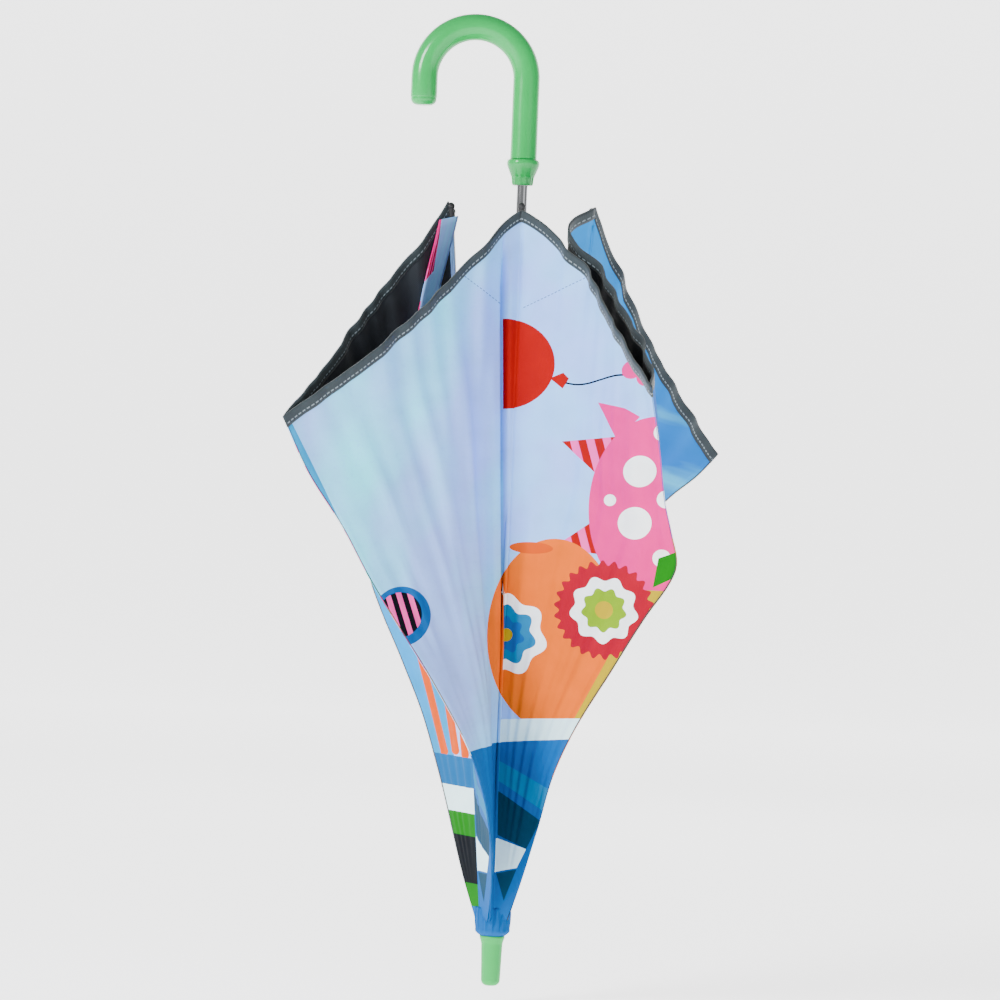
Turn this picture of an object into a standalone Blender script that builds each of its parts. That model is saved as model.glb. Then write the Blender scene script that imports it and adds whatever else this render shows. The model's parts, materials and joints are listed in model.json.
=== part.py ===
"""Children's umbrella, closed and hanging by its crook handle: a turned and bent handle, a steel shaft
with two catch springs, six jointed ribs and stretchers, and a canopy of six gores folded along their creases.

Metres, +Z up, the viewer looks along +Y. The origin is the inside top of the crook, where it hangs.
"""
import math

import bmesh
import bpy
from mathutils import Matrix, Vector

# ---------------------------------------------------------------- driving dimensions
RIB_COUNT = 6
RIB_LENGTH = 0.505              # notch pivot to the end of the rib tip
FOLDED_ANGLE = math.radians(5.6)    # rib to shaft, closed
OPEN_ANGLE = math.radians(58.0)     # rib to shaft, open
STRETCHER_LENGTH = 0.235        # also the distance of the rib joint from the notch pivot
PIVOT_RADIUS = 0.0075           # of both wire rings that ribs and stretchers turn on
FIRST_RIB_AZIMUTH = math.radians(-90)

HOOK_RADIUS = 0.0357            # centreline of the crook
HANDLE_RADIUS = 0.0093
HANDLE_GRIP = 0.0555            # straight grip below the crook's centre
HOOK_LEG = 0.0204               # short leg of the crook below its centre
LEG_ROUNDING = 0.0045           # corner of the short leg's end
LEG_CAP_ROOT = 0.0020           # of the rounded end, inside the bar
COLLAR_LENGTH = 0.0182
COLLAR_RIM_RADIUS = 0.0114
COLLAR_FOOT_RADIUS = 0.0074
COLLAR_EDGE = 0.0007            # roundings of the collar's rim and foot
HEM_DROP = 0.0155               # rib tips below the collar

SHAFT_RADIUS = 0.0038
SHAFT_WALL = 0.0007
SHAFT_IN_HANDLE = 0.040
SHAFT_IN_FERRULE = 0.016

FERRULE_LENGTH = 0.0350
FERRULE_RIM_RADIUS = 0.0088
FERRULE_RADIUS = 0.0074
FERRULE_NOSE_RADIUS = 0.0066    # where its end begins to round
FERRULE_TIP_FLAT = 0.0026       # radius of the flat at the very end
FERRULE_FLARE = 0.0062          # length of the flare at its rim

HUB_RADIUS = 0.0105             # notch and runner
HUB_SLOT_DEPTH = 0.0032         # from the pivot plane to the floor of the slots
HUB_FLOOR = 0.0020
HUB_LIP = 0.0020                # beyond the pivot plane
SLEEVE_RADIUS = 0.0068
SLEEVE_LENGTH = 0.024

WIRE_RADIUS = 0.0006
RIB_RADIUS = 0.0013
EYE_RADIUS = 0.0023
EYE_THICKNESS = 0.0024
PIN_RADIUS = 0.0007
CHANNEL_WIDTH = 0.0052          # stretcher, across its two cheeks
CHANNEL_WALL = 0.0008
CHANNEL_BACK = 0.0036           # pivot axis to the outside of the channel's web
CHANNEL_FRONT = 0.0016          # pivot axis to the channel's open edge
SHORTEST_NECK = 0.016           # round neck of a stretcher, from its channel to the runner's wire
TIP_CAP_LENGTH = 0.013
TIP_CAP_RADIUS = 0.0027

CATCH_THICKNESS = 0.0010
CATCH_RISE = 0.0022             # how far a catch stands out of the shaft
CATCH_LENGTH = 0.018
CATCH_TRAVEL = 0.0020

CREASE_LENGTH = 0.420           # canopy apex to the hem, along the middle fold of a gore
PANEL_START = 0.036             # nearest point of the panels to the notch pivots
FABRIC_THICKNESS = 0.0008
RIB_CLEARANCE = 0.0032          # panel edge to the rib's centreline
CREASE_CLEARANCE = 0.0060       # panel edge to the fold line
STRAP_WIDTH = 0.018
STRAP_LENGTH = 0.068
STRAP_THICKNESS = 0.0008
STRAP_OFFSET = 0.0030           # strap to the panel that it is sewn on
PATCH_LENGTH = 0.020
ROSETTE_RADIUS = 0.0084
ROSETTE_THICKNESS = 0.0006

GAP = 0.0003                    # between touching pieces
RUNNING_GAP = 0.00035           # between pieces that turn or slide

# fold azimuth of each gore, from +X; the gores' own middles are at -60, 0, 60, 120, 180 and 240 degrees
FOLD_AZIMUTHS = [math.radians(a) for a in (-60, 40, 80, 100, 128, 222)]

# ---------------------------------------------------------------- places that follow from them
HOOK_CENTRE = Vector((0, 0, -(HOOK_RADIUS - HANDLE_RADIUS)))
SHAFT_X = HOOK_RADIUS
HANDLE_FOOT = HOOK_CENTRE.z - HANDLE_GRIP
COLLAR_FOOT = HANDLE_FOOT - GAP - COLLAR_LENGTH
RIB_TIP_Z = COLLAR_FOOT - HEM_DROP
NOTCH_Z = RIB_TIP_Z - RIB_LENGTH * math.cos(FOLDED_ANGLE)
RUNNER_Z = NOTCH_Z + 2 * STRETCHER_LENGTH * math.cos(FOLDED_ANGLE)
RUNNER_OPEN_Z = NOTCH_Z + 2 * STRETCHER_LENGTH * math.cos(OPEN_ANGLE)
HUB_HOLE_RADIUS = SHAFT_RADIUS + RUNNING_GAP
PIN_HOLE_RADIUS = PIN_RADIUS + RUNNING_GAP
EYE_HOLE_RADIUS = WIRE_RADIUS + RUNNING_GAP
SLOT_WIDTH = 2 * RIB_RADIUS + 2 * RUNNING_GAP + 0.0002
NOTCH_FOOT = NOTCH_Z - HUB_SLOT_DEPTH - HUB_FLOOR
ROSETTE_Z = NOTCH_FOOT - GAP - ROSETTE_THICKNESS
FERRULE_TOP = ROSETTE_Z - FABRIC_THICKNESS - GAP
SHAFT_TOP = HANDLE_FOOT + SHAFT_IN_HANDLE
SHAFT_FOOT = FERRULE_TOP - SHAFT_IN_FERRULE
HANDLE_PIN_Z = HANDLE_FOOT + SHAFT_IN_HANDLE / 2
# the closed catch stands under the runner when it is up; the open catch over it when it is down
CLOSED_SHOULDER = RUNNER_Z - HUB_LIP - GAP
OPEN_SHOULDER = RUNNER_OPEN_Z + HUB_SLOT_DEPTH + HUB_FLOOR + SLEEVE_LENGTH + GAP
STOP_PIN_Z = RUNNER_OPEN_Z - HUB_LIP - GAP - PIN_RADIUS
# neighbouring channels need this much room between them and the shaft's axis where they end
CHANNEL_ROOM = (CHANNEL_WIDTH / 2 + GAP) / math.tan(math.pi / RIB_COUNT) + CHANNEL_BACK
NECK_LENGTH = max(SHORTEST_NECK, (CHANNEL_ROOM - PIVOT_RADIUS) / math.sin(FOLDED_ANGLE))
APEX_SHIFT = PIVOT_RADIUS / math.tan(OPEN_ANGLE)    # canopy apex below the pivots, along a rib
HALF_GORE = math.asin(math.sin(OPEN_ANGLE) * math.sin(math.pi / RIB_COUNT))

for old in list(bpy.data.objects):
    bpy.data.objects.remove(old, do_unlink=True)


def new_collection(name):
    collection = bpy.data.collections.new(name)
    bpy.context.scene.collection.children.link(collection)
    return collection


PARTS = new_collection("umbrella")
CUTTERS = new_collection("cutters")


# ---------------------------------------------------------------- materials
def material(name, colour, roughness, metallic=0.0):
    made = bpy.data.materials.new(name)
    made.use_nodes = True
    shader = made.node_tree.nodes["Principled BSDF"]
    shader.inputs["Base Color"].default_value = (*colour, 1)
    shader.inputs["Roughness"].default_value = roughness
    shader.inputs["Metallic"].default_value = metallic
    return made


GREEN = material("green_plastic", (0.045, 0.55, 0.17), 0.2)
PALE_GREEN = material("pale_green_plastic", (0.11, 0.75, 0.30), 0.3)
CHROME = material("chrome", (0.75, 0.75, 0.77), 0.12, 1)
STEEL = material("zinc_steel", (0.45, 0.45, 0.47), 0.35, 1)
BLACK = material("black_plastic", (0.02, 0.02, 0.022), 0.4)
FABRIC = material("printed_fabric", (0.45, 0.55, 0.85), 0.8)
LINING = material("dark_fabric", (0.04, 0.05, 0.06), 0.85)
PATCH = material("hook_and_loop", (0.8, 0.82, 0.84), 0.9)


# ---------------------------------------------------------------- making shapes
def add_object(name, mesh, matrix, finish, collection=PARTS):
    made = bpy.data.objects.new(name, mesh)
    collection.objects.link(made)
    made.matrix_world = matrix
    if finish and not mesh.materials:
        mesh.materials.append(finish)
    if collection is CUTTERS:
        made.hide_render = True
        made.display_type = "WIRE"
    return made


def smooth(mesh, degrees=35):
    mesh.shade_smooth()
    mesh.set_sharp_from_angle(angle=math.radians(degrees))


def evaluated(source):
    """A welded mesh copy of an object, in the object's own axes."""
    bpy.context.view_layer.update()
    graph = bpy.context.evaluated_depsgraph_get()
    mesh = bpy.data.meshes.new_from_object(source.evaluated_get(graph), depsgraph=graph)
    work = bmesh.new()
    work.from_mesh(mesh)
    bmesh.ops.remove_doubles(work, verts=work.verts, dist=1e-6)
    work.to_mesh(mesh)
    work.free()
    return mesh


def turned_mesh(name, profile, steps):
    """Mesh turned about Z from (radius, z) points that run down the outer side, top to bottom."""
    mesh = bpy.data.meshes.new(name)
    mesh.from_pydata([(r, 0, z) for r, z in profile], [(i, i + 1) for i in range(len(profile) - 1)], [])
    guide = add_object(name + "_profile", mesh, Matrix(), None, CUTTERS)
    screw = guide.modifiers.new("turn", "SCREW")
    screw.steps = steps
    screw.render_steps = steps
    screw.use_merge_vertices = True
    screw.merge_threshold = 0.00001
    made = evaluated(guide)
    bpy.data.objects.remove(guide, do_unlink=True)
    smooth(made)
    return made


def cylinder_mesh(name, radius, low, high, steps=24):
    return turned_mesh(name, [(0, high), (radius, high), (radius, low), (0, low)], steps)


def ring_profile(outer, bore, low, high):
    return [(bore, high), (outer, high), (outer, low), (bore, low), (bore, high)]


def box_mesh(name, low, high):
    mesh = bpy.data.meshes.new(name)
    work = bmesh.new()
    bmesh.ops.create_cube(work, size=1)
    size = Vector(high) - Vector(low)
    centre = (Vector(high) + Vector(low)) / 2
    work.transform(Matrix.Translation(centre) @ Matrix.Diagonal((*size, 1)))
    work.to_mesh(mesh)
    work.free()
    return mesh


def cut(target, mesh, matrix=None, operation="DIFFERENCE"):
    """Boolean on target with a mesh placed in world axes."""
    place = matrix if matrix is not None else Matrix()
    tool = add_object(f"{target.name}_{operation.lower()}_{len(target.modifiers)}", mesh, place, None, CUTTERS)
    step = target.modifiers.new("shape", "BOOLEAN")
    step.operation = operation
    step.solver = "EXACT"
    step.object = tool
    return tool


def applied(target):
    """The target's evaluated mesh; the target and its cutters go."""
    tools = [m.object for m in target.modifiers if m.type == "BOOLEAN"]
    mesh = evaluated(target)
    for gone in [target, *tools]:
        bpy.data.objects.remove(gone, do_unlink=True)
    smooth(mesh)
    return mesh


def curve_mesh(name, points, radius, cyclic=False, ring_resolution=3):
    """A round bar along points."""
    curve = bpy.data.curves.new(name, "CURVE")
    curve.dimensions = "3D"
    curve.bevel_depth = radius
    curve.bevel_resolution = ring_resolution
    curve.use_fill_caps = not cyclic
    spline = curve.splines.new("POLY")
    spline.points.add(len(points) - 1)
    for place, point in zip(points, spline.points):
        point.co = (*place, 1)
    spline.use_cyclic_u = cyclic
    guide = add_object(name + "_path", curve, Matrix(), None, CUTTERS)
    mesh = evaluated(guide)
    bpy.data.objects.remove(guide, do_unlink=True)
    smooth(mesh)
    return mesh


def plate_mesh(name, outline, thickness):
    """A flat plate in the XY plane, centred on it."""
    curve = bpy.data.curves.new(name, "CURVE")
    curve.dimensions = "2D"
    curve.fill_mode = "BOTH"
    curve.extrude = thickness / 2
    spline = curve.splines.new("POLY")
    spline.points.add(len(outline) - 1)
    for (x, y), point in zip(outline, spline.points):
        point.co = (x, y, 0, 1)
    spline.use_cyclic_u = True
    guide = add_object(name + "_outline", curve, Matrix(), None, CUTTERS)
    mesh = evaluated(guide)
    bpy.data.objects.remove(guide, do_unlink=True)
    return mesh


def across_y(radius, half_length, steps=16):
    """A cylinder along Y through the origin."""
    mesh = cylinder_mesh("bar", radius, -half_length, half_length, steps)
    mesh.transform(Matrix.Rotation(math.pi / 2, 4, "X"))
    return mesh


def on_axis(z):
    return Matrix.Translation((SHAFT_X, 0, z))


# ---------------------------------------------------------------- handle, shaft, ferrule
def leg_cap_mesh():
    """The end of the crook's short leg, its corner rounded and its root sunk in the bar."""
    rim = HANDLE_RADIUS * 0.97
    profile = [(0, LEG_CAP_ROOT), (rim, LEG_CAP_ROOT)]
    for i in range(7):
        angle = math.radians(15 * i)
        profile.append((rim - LEG_ROUNDING * (1 - math.cos(angle)), -LEG_ROUNDING * math.sin(angle)))
    profile.append((0, -LEG_ROUNDING))
    return turned_mesh("leg_cap", profile, 24)


def make_handle():
    turns = 22
    leg_end = HOOK_CENTRE.z - HOOK_LEG + LEG_ROUNDING
    points = [(SHAFT_X, 0, HANDLE_FOOT)]
    for i in range(turns + 1):
        angle = math.pi * i / turns
        points.append((HOOK_RADIUS * math.cos(angle), 0, HOOK_CENTRE.z + HOOK_RADIUS * math.sin(angle)))
    points.append((-HOOK_RADIUS, 0, leg_end))
    bar = add_object("handle_bar", curve_mesh("handle", points, HANDLE_RADIUS, ring_resolution=6), Matrix(), GREEN)
    cut(bar, leg_cap_mesh(), Matrix.Translation((-HOOK_RADIUS, 0, leg_end)), "UNION")
    bore = cylinder_mesh("bore", SHAFT_RADIUS + GAP, HANDLE_FOOT - 0.002, SHAFT_TOP + GAP)
    cut(bar, bore, Matrix.Translation((SHAFT_X, 0, 0)))
    cut(bar, across_y(PIN_RADIUS + GAP, HANDLE_RADIUS * 2), on_axis(HANDLE_PIN_Z))
    add_object("handle", applied(bar), Matrix(), GREEN)


def make_handle_pin():
    add_object("handle_pin", across_y(PIN_RADIUS, HANDLE_RADIUS - GAP), on_axis(HANDLE_PIN_Z), STEEL)


def make_collar():
    bore = SHAFT_RADIUS + GAP
    shoulder = COLLAR_LENGTH * 0.75
    profile = [
        (bore, COLLAR_LENGTH),
        (COLLAR_RIM_RADIUS - 2 * COLLAR_EDGE, COLLAR_LENGTH),
        (COLLAR_RIM_RADIUS - COLLAR_EDGE / 2, COLLAR_LENGTH - COLLAR_EDGE),
        (COLLAR_RIM_RADIUS, COLLAR_LENGTH - 3 * COLLAR_EDGE),
        (COLLAR_RIM_RADIUS - COLLAR_EDGE / 2, shoulder),
        (COLLAR_FOOT_RADIUS + COLLAR_EDGE / 2, COLLAR_LENGTH * 0.28),
        (COLLAR_FOOT_RADIUS, COLLAR_EDGE),
        (COLLAR_FOOT_RADIUS - COLLAR_EDGE, 0),
        (bore, 0),
        (bore, COLLAR_LENGTH),
    ]
    add_object("handle_collar", turned_mesh("collar", profile, 32), on_axis(COLLAR_FOOT), GREEN)


def catch_slot(shoulder, direction):
    """Cutter for a catch's slot through one wall of the shaft."""
    ends = sorted((shoulder - direction * RUNNING_GAP, shoulder + direction * (CATCH_LENGTH + RUNNING_GAP)))
    half = CATCH_THICKNESS / 2 + RUNNING_GAP
    return box_mesh("slot", (0.0005, -half, ends[0]), (SHAFT_RADIUS * 2, half, ends[1]))


def make_shaft():
    length = SHAFT_TOP - SHAFT_FOOT
    tube = add_object(
        "shaft_tube",
        turned_mesh("shaft", ring_profile(SHAFT_RADIUS, SHAFT_RADIUS - SHAFT_WALL, 0, length), 24),
        on_axis(SHAFT_FOOT),
        CHROME,
    )
    place = Matrix.Translation((SHAFT_X, 0, 0))
    cut(tube, catch_slot(CLOSED_SHOULDER, -1), place)
    cut(tube, catch_slot(OPEN_SHOULDER, 1), place)
    for z in (HANDLE_PIN_Z, STOP_PIN_Z):
        cut(tube, across_y(PIN_RADIUS + GAP, SHAFT_RADIUS * 2), on_axis(z))
    place_of_tube = tube.matrix_world.copy()
    add_object("shaft", applied(tube), place_of_tube, CHROME)


def make_catch(name, shoulder, direction):
    """A flat spring piece: a square shoulder, then a slope down to the shaft; its foot lies in the tube."""
    inside = SHAFT_RADIUS - SHAFT_WALL - RUNNING_GAP
    outline = [
        (inside - 0.0012, 0),
        (SHAFT_RADIUS + CATCH_RISE, 0),
        (SHAFT_RADIUS + CATCH_RISE, direction * 0.0016),
        (SHAFT_RADIUS - 0.0004, direction * CATCH_LENGTH),
        (inside - 0.0012, direction * CATCH_LENGTH),
    ]
    upright = Matrix.Translation((SHAFT_X, 0, shoulder)) @ Matrix.Rotation(math.pi / 2, 4, "X")
    add_object(name, plate_mesh(name, outline, CATCH_THICKNESS), upright, STEEL)


def make_stop_pin():
    reach = HUB_HOLE_RADIUS + 0.0011
    add_object("stop_pin", across_y(PIN_RADIUS, reach), on_axis(STOP_PIN_Z), STEEL)


def make_ferrule():
    rounding = FERRULE_NOSE_RADIUS - FERRULE_TIP_FLAT
    profile = [
        (0, 0),
        (FERRULE_RIM_RADIUS, 0),
        (FERRULE_RIM_RADIUS - GAP, -FERRULE_FLARE * 0.3),
        (FERRULE_RADIUS + GAP, -FERRULE_FLARE * 0.8),
        (FERRULE_RADIUS, -FERRULE_FLARE),
    ]
    for i in range(7):
        angle = math.radians(15 * i)
        radius = FERRULE_TIP_FLAT + rounding * math.cos(angle)
        profile.append((radius, rounding * (1 - math.sin(angle)) - FERRULE_LENGTH))
    profile.append((0, -FERRULE_LENGTH))
    body = add_object("ferrule_body", turned_mesh("ferrule", profile, 32), on_axis(FERRULE_TOP), PALE_GREEN)
    bore = cylinder_mesh("bore", SHAFT_RADIUS + GAP, -SHAFT_IN_FERRULE - GAP, 0.001)
    cut(body, bore, on_axis(FERRULE_TOP))
    place = body.matrix_world.copy()
    add_object("ferrule", applied(body), place, PALE_GREEN)


def make_rosette():
    """The disc inside the cloth, over the notch's foot."""
    profile = ring_profile(ROSETTE_RADIUS, SHAFT_RADIUS + GAP, 0, ROSETTE_THICKNESS)
    add_object("rosette", turned_mesh("rosette", profile, 32), on_axis(ROSETTE_Z), BLACK)


# ---------------------------------------------------------------- notch and runner
def hub_mesh(name, sleeve):
    """A slotted hub, its pivot plane at z 0 and its slots open towards +Z; the sleeve goes down from its floor."""
    floor = -HUB_SLOT_DEPTH - HUB_FLOOR
    profile = [(HUB_HOLE_RADIUS, HUB_LIP), (HUB_RADIUS - 0.0006, HUB_LIP), (HUB_RADIUS, HUB_LIP - 0.0006)]
    profile += [(HUB_RADIUS, floor + 0.0005), (HUB_RADIUS - 0.0005, floor)]
    if sleeve:
        profile += [(SLEEVE_RADIUS, floor), (SLEEVE_RADIUS, floor - sleeve + 0.001)]
        profile += [(SLEEVE_RADIUS - 0.001, floor - sleeve), (HUB_HOLE_RADIUS, floor - sleeve)]
    else:
        profile += [(HUB_HOLE_RADIUS, floor)]
    profile += [(HUB_HOLE_RADIUS, HUB_LIP)]
    hub = add_object(name + "_hub", turned_mesh(name, profile, 36), Matrix(), BLACK)
    groove = WIRE_RADIUS + RUNNING_GAP
    ring = ring_profile(PIVOT_RADIUS + groove, PIVOT_RADIUS - groove, -groove, HUB_LIP + 0.001)
    cut(hub, turned_mesh("groove", ring, 36))
    slot_inner = PIVOT_RADIUS - EYE_RADIUS - RUNNING_GAP
    slot = box_mesh("slot", (slot_inner, -SLOT_WIDTH / 2, -HUB_SLOT_DEPTH), (HUB_RADIUS * 2, SLOT_WIDTH / 2, 0.02))
    for i in range(RIB_COUNT):
        cut(hub, slot, Matrix.Rotation(rib_azimuth(i), 4, "Z"))
    if sleeve:
        half = CATCH_THICKNESS / 2 + RUNNING_GAP
        reach = SHAFT_RADIUS + CATCH_RISE + RUNNING_GAP
        cut(hub, box_mesh("window", (0.002, -half, floor - sleeve - 0.001), (reach, half, HUB_LIP + 0.001)))
    return applied(hub)


def rib_azimuth(index):
    return FIRST_RIB_AZIMUTH + 2 * math.pi * index / RIB_COUNT


def wire_ring_mesh(name):
    count = 36
    points = []
    for i in range(count):
        angle = 2 * math.pi * i / count
        points.append((PIVOT_RADIUS * math.cos(angle), PIVOT_RADIUS * math.sin(angle), 0))
    return curve_mesh(name, points, WIRE_RADIUS, cyclic=True, ring_resolution=1)


def make_hubs():
    add_object("notch", hub_mesh("notch", 0), on_axis(NOTCH_Z), BLACK)
    add_object("notch_wire", wire_ring_mesh("notch_wire"), on_axis(NOTCH_Z), STEEL)
    flipped = on_axis(RUNNER_Z) @ Matrix.Rotation(math.pi, 4, "X")
    add_object("runner", hub_mesh("runner", SLEEVE_LENGTH), flipped, BLACK)
    add_object("runner_wire", wire_ring_mesh("runner_wire"), on_axis(RUNNER_Z), STEEL)


# ---------------------------------------------------------------- ribs and stretchers
def rib_place(index, angle=FOLDED_ANGLE):
    """Axes of a rib: origin on its notch pivot, Z along it, X outwards, Y along the pivot."""
    return (
        on_axis(NOTCH_Z)
        @ Matrix.Rotation(rib_azimuth(index), 4, "Z")
        @ Matrix.Translation((PIVOT_RADIUS, 0, 0))
        @ Matrix.Rotation(angle, 4, "Y")
    )


def stretcher_place(index):
    joint = rib_place(index) @ Matrix.Translation((0, 0, STRETCHER_LENGTH))
    return joint @ Matrix.Rotation(-2 * FOLDED_ANGLE, 4, "Y")


def rib_mesh():
    end = RIB_LENGTH - TIP_CAP_LENGTH * 0.4
    line = [(0, 0, EYE_RADIUS * 0.75), (0, 0, end)]
    bar = add_object("rib_bar", curve_mesh("rib", line, RIB_RADIUS), Matrix(), STEEL)
    for z in (0, STRETCHER_LENGTH):
        eye = across_y(EYE_RADIUS, EYE_THICKNESS / 2, 20)
        cut(bar, eye, Matrix.Translation((0, 0, z)), "UNION")
    cut(bar, across_y(EYE_HOLE_RADIUS, EYE_THICKNESS * 2))
    cut(bar, across_y(PIN_HOLE_RADIUS, EYE_THICKNESS * 2), Matrix.Translation((0, 0, STRETCHER_LENGTH)))
    return applied(bar)


def stretcher_mesh():
    """A channel, open towards +X, from the rib joint at z 0 to the eye on the runner's wire."""
    half = CHANNEL_WIDTH / 2
    channel_end = STRETCHER_LENGTH - NECK_LENGTH
    low = (-CHANNEL_BACK, -half, -EYE_RADIUS * 0.8)
    body = add_object("channel", box_mesh("stretcher", low, (CHANNEL_FRONT, half, channel_end)), Matrix(), STEEL)
    inner = half - CHANNEL_WALL
    trough = box_mesh("trough", (-CHANNEL_BACK + CHANNEL_WALL, -inner, -0.01), (0.01, inner, channel_end - 0.003))
    cut(body, trough)
    cut(body, box_mesh("relief", (-0.01, -inner, -0.01), (0.01, inner, 0.007)))
    neck = [(-0.0006, 0, channel_end - 0.002), (0, 0, STRETCHER_LENGTH - EYE_RADIUS * 0.75)]
    cut(body, curve_mesh("neck", neck, RIB_RADIUS), None, "UNION")
    end = Matrix.Translation((0, 0, STRETCHER_LENGTH))
    cut(body, across_y(EYE_RADIUS, EYE_THICKNESS / 2, 20), end, "UNION")
    cut(body, across_y(EYE_HOLE_RADIUS, EYE_THICKNESS * 2), end)
    cut(body, across_y(PIN_HOLE_RADIUS, CHANNEL_WIDTH * 2))
    return applied(body)


def tip_cap_mesh():
    """A moulded cap with a ball end, bored for the rib."""
    low = RIB_LENGTH - TIP_CAP_LENGTH
    ball = [
        (TIP_CAP_RADIUS * math.sin(a), RIB_LENGTH - TIP_CAP_RADIUS + TIP_CAP_RADIUS * math.cos(a))
        for a in (math.radians(18 * i) for i in range(8))
    ]
    neck = TIP_CAP_RADIUS * 0.8
    solid = turned_mesh("tip_cap", ball + [(neck, low + GAP), (neck, low), (0, low)], 16)
    body = add_object("cap", solid, Matrix(), BLACK)
    cut(body, cylinder_mesh("bore", RIB_RADIUS + GAP, low - 0.001, RIB_LENGTH - TIP_CAP_LENGTH * 0.4 + GAP, 16))
    return applied(body)


def make_ribs():
    rib = rib_mesh()
    stretcher = stretcher_mesh()
    cap = tip_cap_mesh()
    pin = across_y(PIN_RADIUS, CHANNEL_WIDTH / 2 + 0.0005)
    for i in range(RIB_COUNT):
        number = i + 1
        add_object(f"rib_{number}", rib, rib_place(i), STEEL)
        add_object(f"rib_tip_{number}", cap, rib_place(i), BLACK)
        add_object(f"rib_pin_{number}", pin, rib_place(i) @ Matrix.Translation((0, 0, STRETCHER_LENGTH)), STEEL)
        add_object(f"stretcher_{number}", stretcher, stretcher_place(i), STEEL)


# ---------------------------------------------------------------- canopy
def rib_direction(index, angle=FOLDED_ANGLE):
    azimuth = rib_azimuth(index)
    return Vector((math.sin(angle) * math.cos(azimuth), math.sin(angle) * math.sin(azimuth), math.cos(angle)))


def crease_direction(index):
    """Where a gore's fold points when closed: at the gore's azimuth, its two angles to the ribs add up to the gore."""
    azimuth = FOLD_AZIMUTHS[index]
    low, high = 0.0, math.pi / 2
    for _ in range(50):
        tilt = (low + high) / 2
        fold = Vector((math.sin(tilt) * math.cos(azimuth), math.sin(tilt) * math.sin(azimuth), math.cos(tilt)))
        total = fold.angle(rib_direction(index)) + fold.angle(rib_direction(index + 1))
        if total < 2 * HALF_GORE:
            low = tilt
        else:
            high = tilt
    return fold


def panel_axes(gore, rib):
    """Axes of half a gore: origin on the rib's pivot, X from the rib to the fold, Y along the rib."""
    along = rib_direction(rib)
    fold = crease_direction(gore)
    across = (fold - along * fold.dot(along)).normalized()
    normal = across.cross(along)
    axes = Matrix((across, along, normal)).transposed().to_4x4()
    return Matrix.Translation(rib_place(rib).translation) @ axes, fold.angle(along)


def panel_outline(fold_angle):
    """(across, along) points of half a gore beside its rib: a start near the notch, the hem, and the crease."""
    tip = (CREASE_LENGTH * math.sin(fold_angle), CREASE_LENGTH * math.cos(fold_angle) - APEX_SHIFT)
    edge = CREASE_CLEARANCE / math.cos(fold_angle)
    slope = math.tan(fold_angle)
    hem_slope = (tip[1] - RIB_LENGTH) / tip[0]
    near_hem = RIB_LENGTH + hem_slope * RIB_CLEARANCE
    corner_across = tip[0] - CREASE_CLEARANCE / 2 - edge / 2
    corner_along = RIB_LENGTH + hem_slope * corner_across
    start_across = (PANEL_START + APEX_SHIFT) * slope - edge
    crease_along = corner_across / slope + edge / slope - APEX_SHIFT
    return [
        (RIB_CLEARANCE, PANEL_START),
        (start_across, PANEL_START),
        (corner_across, crease_along),
        (corner_across, corner_along),
        (RIB_CLEARANCE, near_hem),
    ]


def make_canopy():
    for gore in range(RIB_COUNT):
        for side, rib in (("a", gore), ("b", (gore + 1) % RIB_COUNT)):
            place, fold_angle = panel_axes(gore, rib)
            name = f"canopy_panel_{gore + 1}{side}"
            add_object(name, plate_mesh(name, panel_outline(fold_angle), FABRIC_THICKNESS), place, FABRIC)


def make_strap():
    """The tie strap is sewn to the last gore beside the sixth rib and hangs inside the fold."""
    gore = RIB_COUNT - 1
    place, _ = panel_axes(gore, gore)
    inward = -1 if place.col[2].dot(Vector((0, -1, 0, 0))) < 0 else 1
    lean = math.radians(32)
    start = Vector((0.012, RIB_LENGTH - 0.018, 0))
    frame = (
        place
        @ Matrix.Translation(start + Vector((0, 0, inward * STRAP_OFFSET)))
        @ Matrix.Rotation(lean, 4, "Z")
    )
    half = STRAP_WIDTH / 2
    strap = [(-half, 0), (-half, -STRAP_LENGTH), (half, -STRAP_LENGTH), (half, 0)]
    add_object("tie_strap", plate_mesh("tie_strap", strap, STRAP_THICKNESS), frame, LINING)
    patch_half = half - 0.0015
    patch = [(-patch_half, 0), (-patch_half, -PATCH_LENGTH), (patch_half, -PATCH_LENGTH), (patch_half, 0)]
    lift = inward * (STRAP_THICKNESS + GAP)
    low = -(STRAP_LENGTH - PATCH_LENGTH - 0.002)
    add_object(
        "strap_patch",
        plate_mesh("strap_patch", patch, STRAP_THICKNESS),
        frame @ Matrix.Translation((0, low, lift)),
        PATCH,
    )


make_handle()
make_handle_pin()
make_collar()
make_shaft()
make_catch("closed_catch", CLOSED_SHOULDER, -1)
make_catch("open_catch", OPEN_SHOULDER, 1)
make_stop_pin()
make_ferrule()
make_rosette()
make_hubs()
make_ribs()
make_canopy()
make_strap()
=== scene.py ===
"""Looks of the children's umbrella: cloth gores with a printed outside and a dark inside, bound hem with
stitching, tie strap, moulded handle, chromed shaft, steel frame, and the studio."""
import json
import math

import bmesh
import bpy
import numpy as np
from mathutils import Matrix, Vector, noise


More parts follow.
